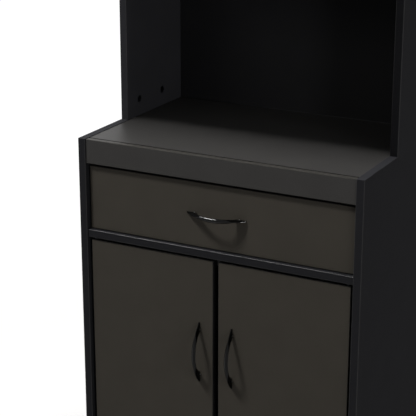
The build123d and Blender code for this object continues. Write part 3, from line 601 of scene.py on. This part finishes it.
def body_of_board(node: str) -> str:
    """Find the body that a board moves with: a door is a body itself, and the rest go by their names.

    Args:
        node: the board's node.

    Returns:
        The body's name.
    """
    if node.endswith("_door"):
        return node
    return "drawer" if node.startswith("drawer") else "carcass"


# Bow handles

class Lie(Enum):
    """How a handle lies on its front."""

    ACROSS = 0.0
    UPRIGHT = math.pi / 2


@dataclass
class BowHandle:
    """A cast bow handle, full round in the middle and cut flat at its two feet.

    Attributes:
        node: the node that it stands for.
        body: the body that it moves with.
        lie: how it lies on its front.
        foot: length of each foot, from the tip to the inner arch.
        thickness: thickness of the bow at its middle.
        tip: height of the bow at its tips.
        tip_width: width of the bow at its tips.
        sink: how far the feet reach below the front before they are cut flat.
        rings: rings of the mesh from the middle to a tip.
        sides: corners of each ring.
        fullness: form of the section. 2 is an ellipse and 1 is a diamond.
        seam: corners of the two halves that lie closer than this are joined.
        length: its length, which like the next three comes from the node's box.
        width: width of the bow at its middle.
        rise: how far it stands out from its front.
        seat: the middle of its place on the front.
    """

    node: str
    body: str
    lie: Lie
    foot: float = 22 * MM
    thickness: float = 6 * MM
    tip: float = 2.5 * MM
    tip_width: float = 3.2 * MM
    sink: float = 2.5 * MM
    rings: int = 22
    sides: int = 24
    fullness: float = 1.3
    seam: float = 0.01 * MM
    length: float = field(init=False)
    width: float = field(init=False)
    rise: float = field(init=False)
    seat: Vector = field(init=False)

    def __post_init__(self) -> None:
        """Take the length, width, rise and place from the node's box."""
        low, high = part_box(self.node)
        spans = high - low
        self.length = spans.x if self.lie is Lie.ACROSS else spans.z
        self.width = spans.z if self.lie is Lie.ACROSS else spans.x
        self.rise = spans.y
        self.seat = Vector(((low.x + high.x) / 2, high.y, (low.z + high.z) / 2))

    def arch(self, half_chord: float, rise: float, base: float, x: float) -> float:
        """Height of a circular arch above the front.

        Args:
            half_chord: half of its chord.
            rise: its height at the middle.
            base: the height of its ends.
            x: the place along the handle.

        Returns:
            The height, or -sink beyond the arch's ends.
        """
        sag = rise - base
        radius = (half_chord ** 2 + sag ** 2) / (2 * sag)
        inside = radius ** 2 - x ** 2
        if inside <= 0:
            return -self.sink
        return max(rise - radius + math.sqrt(inside), -self.sink)

    def section(self, x: float) -> tuple[float, float, float]:
        """The bow's section at a place along it.

        Args:
            x: the distance from the middle.

        Returns:
            The height of the section's centre, half of its thickness and half of its width.
        """
        half = self.length / 2
        outer = self.arch(half, self.rise, self.tip, x)
        inner = self.arch(half - self.foot, self.rise - self.thickness, 0.0, x)
        width = self.width + (self.tip_width - self.width) * (x / half) ** 2
        return (outer + inner) / 2, (outer - inner) / 2, width / 2

    def build(self) -> bpy.types.Object:
        """Model the bow by extruding a ring from the middle to one tip and mirroring it.

        Returns:
            The finished piece.
        """
        deselect()
        bpy.ops.mesh.primitive_circle_add(vertices=self.sides, radius=1.0, fill_type="NOTHING",
                                          rotation=(0.0, math.pi / 2, 0.0))
        piece = bpy.context.object
        piece.name = f"{self.node}_bow"
        bpy.ops.object.transform_apply(location=False, rotation=True, scale=False)
        for corner in piece.data.vertices:
            corner.co = [math.copysign(abs(part) ** (2 / self.fullness), part) for part in corner.co]
        bpy.ops.object.mode_set(mode="EDIT")
        bpy.ops.mesh.select_all(action="SELECT")
        centre, thick, wide = self.section(0.0)
        bpy.ops.transform.resize(value=(1.0, thick, wide), center_override=(0.0, 0.0, 0.0))
        bpy.ops.transform.translate(value=(0.0, -centre, 0.0))
        step = self.length / 2 / self.rings
        for ring in range(1, self.rings + 1):
            before = (centre, thick, wide)
            centre, thick, wide = self.section(ring * step)
            bpy.ops.mesh.extrude_region_move(
                TRANSFORM_OT_translate={"value": (step, before[0] - centre, 0.0)})
            bpy.ops.transform.resize(value=(1.0, thick / before[1], wide / before[2]),
                                     center_override=(ring * step, -centre, 0.0))
        bpy.ops.mesh.edge_face_add()
        bpy.ops.object.mode_set(mode="OBJECT")
        mirror = piece.modifiers.new("other_half", "MIRROR")
        mirror.use_clip = True
        mirror.merge_threshold = self.seam
        bpy.ops.object.modifier_apply(modifier=mirror.name)
        bpy.ops.object.mode_set(mode="EDIT")
        bpy.ops.mesh.select_all(action="SELECT")
        bpy.ops.mesh.normals_make_consistent(inside=False)
        bpy.ops.mesh.bisect(plane_co=(0.0, 0.0, 0.0), plane_no=(0.0, 1.0, 0.0), use_fill=True,
                            clear_outer=True)
        bpy.ops.object.mode_set(mode="OBJECT")
        piece.rotation_euler = (0.0, -self.lie.value, 0.0)
        piece.location = self.seat
        bpy.ops.object.transform_apply(location=True, rotation=True, scale=True)
        bpy.ops.object.shade_smooth_by_angle(angle=CAST_SMOOTH)
        return piece

    def dress(self, piece: bpy.types.Object, lacquer: bpy.types.Material) -> None:
        """Lacquer the bow and let it ride in place of its node.

        Args:
            piece: the finished mesh.
            lacquer: the handle's material.
        """
        piece.data.materials.append(lacquer)
        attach(piece, self.body)
        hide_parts(self.node)


# Screws

@dataclass
class CrossScrews:
    """The screws of one node, with the cross that a driver turns cut into each head.

    Attributes:
        node: the node that they stand for.
        body: the body that they move with.
        span: length of the arms of the cross.
        slit: width of the arms.
        depth: depth of the cross.
    """

    node: str
    body: str
    span: float = 4.2 * MM
    slit: float = 1.1 * MM
    depth: float = 1.4 * MM

    def shanks(self, mesh: bpy.types.Mesh) -> list[list[Vector]]:
        """Sort the merged mesh into its separate screws.

        Args:
            mesh: the merged copy of the node's mesh.

        Returns:
            The corners of each screw.
        """
        near: dict[int, list[int]] = {vertex.index: [] for vertex in mesh.vertices}
        for first, second in (edge.vertices for edge in mesh.edges):
            near[first].append(second)
            near[second].append(first)
        screws, seen = [], set()
        for start in near:
            if start in seen:
                continue
            group, reach = [], [start]
            seen.add(start)
            while reach:
                index = reach.pop()
                group.append(mesh.vertices[index].co.copy())
                fresh = [other for other in near[index] if other not in seen]
                seen.update(fresh)
                reach.extend(fresh)
            screws.append(group)
        return screws

    def head(self, corners: list[Vector]) -> tuple[Vector, int]:
        """Find the middle of a screw's head, which is its wide end.

        Args:
            corners: the corners of one screw.

        Returns:
            The middle of the head's face, and the number of the axis along the screw.
        """
        low = Vector([min(corner[i] for corner in corners) for i in range(3)])
        high = Vector([max(corner[i] for corner in corners) for i in range(3)])
        spans = high - low
        axis = max(range(3), key=lambda i: spans[i])
        across = (axis + 1) % 3
        middle = (low + high) / 2
        widest = max(corners, key=lambda corner: abs(corner[across] - middle[across]))
        middle[axis] = high[axis] if widest[axis] > middle[axis] else low[axis]
        return middle, axis

    def cutter(self, heads: list[tuple[Vector, int]]) -> bpy.types.Object:
        """Model a cross at each head, as two crossed bars joined into one cutter.

        Args:
            heads: the middle of each head and the number of the axis along its screw.

        Returns:
            The cutter.
        """
        deselect()
        bars = []
        for middle, axis in heads:
            for long_axis in ((axis + 1) % 3, (axis + 2) % 3):
                sides = [self.slit] * 3
                sides[axis] = self.depth * 2
                sides[long_axis] = self.span
                bpy.ops.mesh.primitive_cube_add(size=1.0, location=middle, scale=sides)
                bars.append(bpy.context.object)
        for bar in bars:
            bar.select_set(True)
        bpy.ops.object.join()
        return bpy.context.object

    def build(self) -> bpy.types.Object:
        """Copy the node's screws, merge them and cut the crosses.

        Returns:
            The finished piece.
        """
        piece = merged_copy(self.node, f"{self.node}_crossed")
        bpy.ops.object.mode_set(mode="OBJECT")
        cutter = self.cutter([self.head(corners) for corners in self.shanks(piece.data)])
        pick(piece)
        cut = piece.modifiers.new("crosses", "BOOLEAN")
        cut.operation = "DIFFERENCE"
        cut.solver = "EXACT"
        cut.use_self = True
        cut.object = cutter
        bpy.ops.object.modifier_apply(modifier=cut.name)
        bpy.ops.object.shade_smooth_by_angle(angle=CUT_SMOOTH)
        bpy.data.objects.remove(cutter)
        return piece

    def dress(self, piece: bpy.types.Object) -> None:
        """Let the screws ride in place of their node. The copy keeps the node's finish.

        Args:
            piece: the finished mesh.
        """
        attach(piece, self.body)
        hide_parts(self.node)


# Tacks

@dataclass
class BackTacks:
    """Tacks that hold the thin back panels to the rear edges of the boards.

    Attributes:
        boards: nodes whose rear edges take a row of tacks.
        body: the body that the tacks move with.
        spacing: greatest distance between two tacks of a row.
        inset: distance of the end tacks from the ends of the board.
        head: diameter of a head.
        proud: how far a head stands out of the back panel.
        crown: diameter of the flat on top of a head, as a share of the head.
        sides: corners of its rim.
    """

    boards: tuple[str, ...] = ("base_bottom_panel", "divider_shelf", "worktop", "hutch_middle_shelf",
                               "hutch_top_panel")
    body: str = "carcass"
    spacing: float = 110 * MM
    inset: float = 40 * MM
    head: float = 4.4 * MM
    proud: float = 0.8 * MM
    crown: float = 0.6
    sides: int = 12

    def places(self) -> list[Vector]:
        """Set out the tacks.

        Returns:
            The middle of each head, on the back panels' outer face.
        """
        face_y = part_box("hutch_back_panel")[1].y
        spots = []
        for board in self.boards:
            low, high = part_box(board)
            reach = high.x - self.inset
            gaps = math.ceil(2 * reach / self.spacing)
            height = (low.z + high.z) / 2
            spots += [Vector((reach * (2 * i / gaps - 1), face_y, height)) for i in range(gaps + 1)]
        return spots

    def build(self) -> bpy.types.Object:
        """Model one head, copy it to every place and join the copies.

        Returns:
            The finished piece.
        """
        deselect()
        bpy.ops.mesh.primitive_circle_add(vertices=self.sides, radius=self.head / 2, fill_type="NGON",
                                          rotation=(-math.pi / 2, 0.0, 0.0))
        tack = bpy.context.object
        bpy.ops.object.transform_apply(location=False, rotation=True, scale=False)
        bpy.ops.object.mode_set(mode="EDIT")
        bpy.ops.mesh.select_all(action="SELECT")
        for rise, share in ((self.proud / 2, 1.0), (self.proud / 2, self.crown)):
            bpy.ops.mesh.extrude_region_move(TRANSFORM_OT_translate={"value": (0.0, rise, 0.0)})
            bpy.ops.transform.resize(value=(share, 1.0, share), center_override=(0.0, 0.0, 0.0))
        bpy.ops.mesh.select_all(action="SELECT")
        bpy.ops.mesh.remove_doubles(threshold=MERGE)
        bpy.ops.mesh.normals_make_consistent(inside=False)
        bpy.ops.object.mode_set(mode="OBJECT")
        bpy.ops.object.shade_smooth_by_angle(angle=CAST_SMOOTH)
        first, *others = self.places()
        copies = [tack]
        for spot in others:
            pick(tack)
            bpy.ops.object.duplicate()
            bpy.context.object.location = spot
            copies.append(bpy.context.object)
        tack.location = first
        for copy in copies:
            copy.select_set(True)
        bpy.context.view_layer.objects.active = tack
        bpy.ops.object.join()
        tack.name = "back_tacks"
        bpy.ops.object.transform_apply(location=True, rotation=True, scale=True)
        return tack

    def dress(self, piece: bpy.types.Object, plate: bpy.types.Material) -> None:
        """Plate the tacks and let them ride.

        Args:
            piece: the finished mesh.
            plate: the tacks' material.
        """
        piece.data.materials.append(plate)
        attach(piece, self.body)


# Studio

class LightUse(Enum):
    """What a studio light does."""

    BOTH = "both"
    LIGHTS = "lights surfaces and isn't mirrored"
    MIRRORED = "shows in glossy surfaces only"


class Flag(Enum):
    """What the flags in front of a studio light do for the pieces that they are set for."""

    KEEPS_OFF = "EXCLUDE"
    KEEPS_ON = "INCLUDE"


@dataclass
class Softbox:
    """A studio light that points at the cabinet.

    Attributes:
        name: its name.
        azimuth: where it stands round the cabinet, in degrees. 0 is in front and 90 is to the right.
        elevation: how high it stands, in degrees.
        level: how bright it makes a surface that faces it. At 1 a colour renders as it is written.
        width: its width.
        height: its height.
        use: what it does.
        flagged: pieces that flags are set for.
        flag: what the flags do for them.
        distance: how far it stands from its aim.
    """

    name: str
    azimuth: float
    elevation: float
    level: float
    width: float
    height: float
    use: LightUse = LightUse.BOTH
    flagged: tuple[str, ...] = ()
    flag: Flag = Flag.KEEPS_OFF
    distance: float = 3.4

    def build(self, aim: Vector) -> None:
        """Hang the light.

        Args:
            aim: the point that it faces.
        """
        turn, lift = math.radians(self.azimuth), math.radians(self.elevation)
        level_part = math.cos(lift)
        back = Vector((math.sin(turn) * level_part, -math.cos(turn) * level_part, math.sin(lift)))
        lamp = bpy.data.lights.new(self.name, "AREA")
        lamp.shape = "RECTANGLE"
        lamp.size = self.width
        lamp.size_y = self.height
        # At this power a white surface that faces the lamp has a brightness of level
        lamp.energy = self.level * (math.pi * self.distance) ** 2
        holder = bpy.data.objects.new(self.name, lamp)
        holder.location = aim + back * self.distance
        holder.rotation_euler = back.to_track_quat("Z", "Y").to_euler()
        holder.visible_glossy = self.use is not LightUse.LIGHTS
        holder.visible_diffuse = self.use is not LightUse.MIRRORED
        bpy.context.collection.objects.link(holder)
        if self.flagged:
            shade = bpy.data.collections.new(f"{self.name}_flag")
            for piece in self.flagged:
                shade.objects.link(bpy.data.objects[piece])
            for linked in shade.collection_objects:
                linked.light_linking.link_state = self.flag.value
            holder.light_linking.receiver_collection = shade


@dataclass
class Studio:
    """A pale floor, a white surround and soft light.

    Attributes:
        floor_size: length of the floor's sides.
        floor_colour: sRGB colour of the floor.
        floor_roughness: roughness of the floor.
        ambient: brightness of the surround as a light.
        floor_lift: how far the floor is lifted towards white round the cabinet where it is looked at.
        fade_start: distance from the cabinet at which the floor begins to fade to white.
        fade_end: distance at which it is white.
    """

    floor_size: float = 40.0
    floor_colour: str = "#7C7B7A"
    floor_roughness: float = 0.9
    ambient: float = 0.1
    floor_lift: float = 0.67
    fade_start: float = 1.2
    fade_end: float = 4.0

    def seen_directly(self, tree: bpy.types.NodeTree) -> bpy.types.NodeSocket:
        """Find the rays that look at the surround itself, or at it in a mirror or through glass.

        Args:
            tree: the node tree that gets the mask.

        Returns:
            The socket that gives 1 for those rays and 0 for the others.
        """
        path = add_node(tree, "ShaderNodeLightPath")
        shiny = add_node(tree, "ShaderNodeMath", {"operation": "MAXIMUM"},
                         {0: path.outputs["Is Camera Ray"], 1: path.outputs["Is Glossy Ray"]})
        seen = add_node(tree, "ShaderNodeMath", {"operation": "MAXIMUM"},
                        {0: shiny.outputs["Value"], 1: path.outputs["Is Transmission Ray"]})
        return seen.outputs["Value"]

    def build_world(self) -> None:
        """A surround that is white to look at and dimmer as a light."""
        world = bpy.data.worlds.new("white_surround")
        bpy.context.scene.world = world
        world.use_nodes = True
        tree = world.node_tree
        sky = tree.nodes["Background"]
        sky.inputs["Color"].default_value = WHITE
        level = add_node(tree, "ShaderNodeMapRange", {"To Min": self.ambient, "To Max": 1.0},
                         {"Value": self.seen_directly(tree)})
        tree.links.new(level.outputs["Result"], sky.inputs["Strength"])

    def build_floor(self) -> None:
        """A pale floor that keeps the cabinet's shadow and fades to the surround's white."""
        deselect()
        bpy.ops.mesh.primitive_plane_add(size=self.floor_size)
        floor = bpy.context.object
        floor.name = "studio_floor"
        # Matt painted board: pale, with nothing mirrored in it
        paint = bpy.data.materials.new("pale_studio_floor")
        paint.use_nodes = True
        tree = paint.node_tree
        shader = tree.nodes["Principled BSDF"]
        shader.inputs["Base Color"].default_value = linear(self.floor_colour)
        shader.inputs["Roughness"].default_value = self.floor_roughness
        shader.inputs["Specular IOR Level"].default_value = 0.0
        shader.inputs["Emission Color"].default_value = WHITE
        place = add_node(tree, "ShaderNodeTexCoord")
        reach = add_node(tree, "ShaderNodeVectorMath", {"operation": "LENGTH"},
                         {0: place.outputs["Object"]})
        fade = add_node(tree, "ShaderNodeMapRange",
                        {"From Min": self.fade_start, "From Max": self.fade_end,
                         "To Min": self.floor_lift, "To Max": 1.0},
                        {"Value": reach.outputs["Value"]})
        lift = add_node(tree, "ShaderNodeMath", {"operation": "MULTIPLY"},
                        {0: self.seen_directly(tree), 1: fade.outputs["Result"]})
        tree.links.new(lift.outputs["Value"], shader.inputs["Emission Strength"])
        floor.data.materials.append(paint)

    def build_lights(self, aim: Vector) -> None:
        """Hang the lights.

        The key stands at the upper left front, and flags keep it off the worktop and the niche. A top
        light and weak fills do the rest. The strips only show in reflections, as lines in the lacquer.

        Args:
            aim: the point that they face.
        """
        lights = (
            Softbox("key_light", -41.0, 54.0, 1.24, 0.5, 0.5, LightUse.LIGHTS,
                    flagged=("worktop", "hutch_back_panel_eased", "hutch_right_side_eased")),
            Softbox("top_light", -20.0, 89.6, 1.4, 0.6, 0.6, LightUse.LIGHTS),
            Softbox("right_fill", 57.0, 8.0, 0.27, 1.6, 1.6, LightUse.LIGHTS),
            Softbox("niche_fill", 50.0, 6.0, 0.43, 0.5, 0.5, LightUse.LIGHTS,
                    flagged=("hutch_left_side_eased", "hutch_back_panel_eased"), flag=Flag.KEEPS_ON),
            Softbox("left_strip", -46.0, 43.5, 1.7, 1.6, 0.22, LightUse.MIRRORED),
            Softbox("front_strip", -27.0, 51.0, 0.4, 0.5, 0.25, LightUse.MIRRORED),
            Softbox("far_left_strip", -81.0, 42.0, 0.2, 1.2, 0.22, LightUse.MIRRORED),
            Softbox("right_strip", 64.0, 58.0, 0.9, 0.6, 0.5, LightUse.MIRRORED),
            Softbox("back_fill", 205.0, 35.0, 0.25, 2.0, 2.0),
        )
        for light in lights:
            light.build(aim)


@dataclass
class PhotoCamera:
    """The photograph's camera, placed from the base's front edges and its top.

    Attributes:
        turn: how far it stands to the right of straight ahead, in degrees.
        dip: how far it looks down, in degrees.
        right: its place to the right of the cabinet's middle.
        ahead: its distance in front of the side panels' front edges.
        above: its height above the tops of the base's side panels.
        focal_px: focal length in pixels of the photograph.
        image_px: width of the photograph.
        sensor_mm: width of the sensor.
    """

    turn: float = 27.735
    dip: float = 18.419
    right: float = 1.15829
    ahead: float = 2.226995
    above: float = 0.7385
    focal_px: float = 1406.6
    image_px: float = 416.0
    sensor_mm: float = 36.0

    def build(self) -> None:
        """Set the camera up."""
        low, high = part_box("base_left_side")
        lens = bpy.data.cameras.new("photo_camera")
        lens.sensor_width = self.sensor_mm
        lens.lens = self.focal_px / self.image_px * self.sensor_mm
        holder = bpy.data.objects.new("photo_camera", lens)
        holder.location = (self.right, low.y - self.ahead, high.z + self.above)
        holder.rotation_euler = (math.radians(90 - self.dip), 0.0, math.radians(self.turn))
        bpy.context.collection.objects.link(holder)
        bpy.context.scene.camera = holder


def main() -> None:
    """Dress the frame, build the new pieces and set up the studio."""
    logging.basicConfig(level=logging.INFO, format="%(message)s")
    materials = dress_nodes()
    handles = [BowHandle("drawer_handle", "drawer", Lie.ACROSS)]
    for level in ("lower", "upper"):
        for side in ("left", "right"):
            door = f"{level}_{side}_door"
            handles.append(BowHandle(f"{door}_handle", door, Lie.UPRIGHT))
    corners = {"black_laminate": BAND_CORNER.material(), "charcoal_laminate": TOP_CORNER.material(),
               "grey_drawer_foil": materials["grey_drawer_foil"],
               "black_hardboard": materials["black_hardboard"]}
    top = TOP_FINISH.material()
    for node in ("worktop", "worktop_fascia"):
        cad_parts[node].material_slots[0].material = top
    # The fronts' near-black narrow sides are painted shade in the gaps between the fronts
    bands_and_gap_shade = dict.fromkeys(FRONTS, FRONT_BAND_AND_GAP_SHADE.material())
    bands_and_gap_shade["worktop_fascia"] = TOP_BAND.material()
    for slot, nodes in BOARDS.items():
        for node in nodes:
            board = EasedBoard(node, body_of_board(node))
            piece = board.build()
            board.dress(piece, slot, corners[slot], bands_and_gap_shade.get(node))
            log.info("eased %s on %s", piece.name, board.body)
    screws = [CrossScrews("wood_screws", "carcass"), CrossScrews("drawer_runner_screws", "drawer")]
    screws += [CrossScrews(f"{handle.node}_screws", handle.body) for handle in handles]
    for group in screws:
        piece = group.build()
        group.dress(piece)
        log.info("cut crosses in %s on %s", piece.name, group.body)
    tacks = BackTacks()
    piece = tacks.build()
    tacks.dress(piece, materials["zinc_plated_steel"])
    log.info("built %s on %s", piece.name, tacks.body)
    for handle in handles:
        piece = handle.build()
        handle.dress(piece, materials["black_handle"])
        log.info("built %s on %s", piece.name, handle.body)
    bpy.context.scene.view_settings.view_transform = "Standard"
    studio = Studio()
    studio.build_world()
    studio.build_floor()
    low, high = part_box("worktop")
    studio.build_lights((low + high) / 2)
    PhotoCamera().build()


if __name__ == "__main__":
    main()
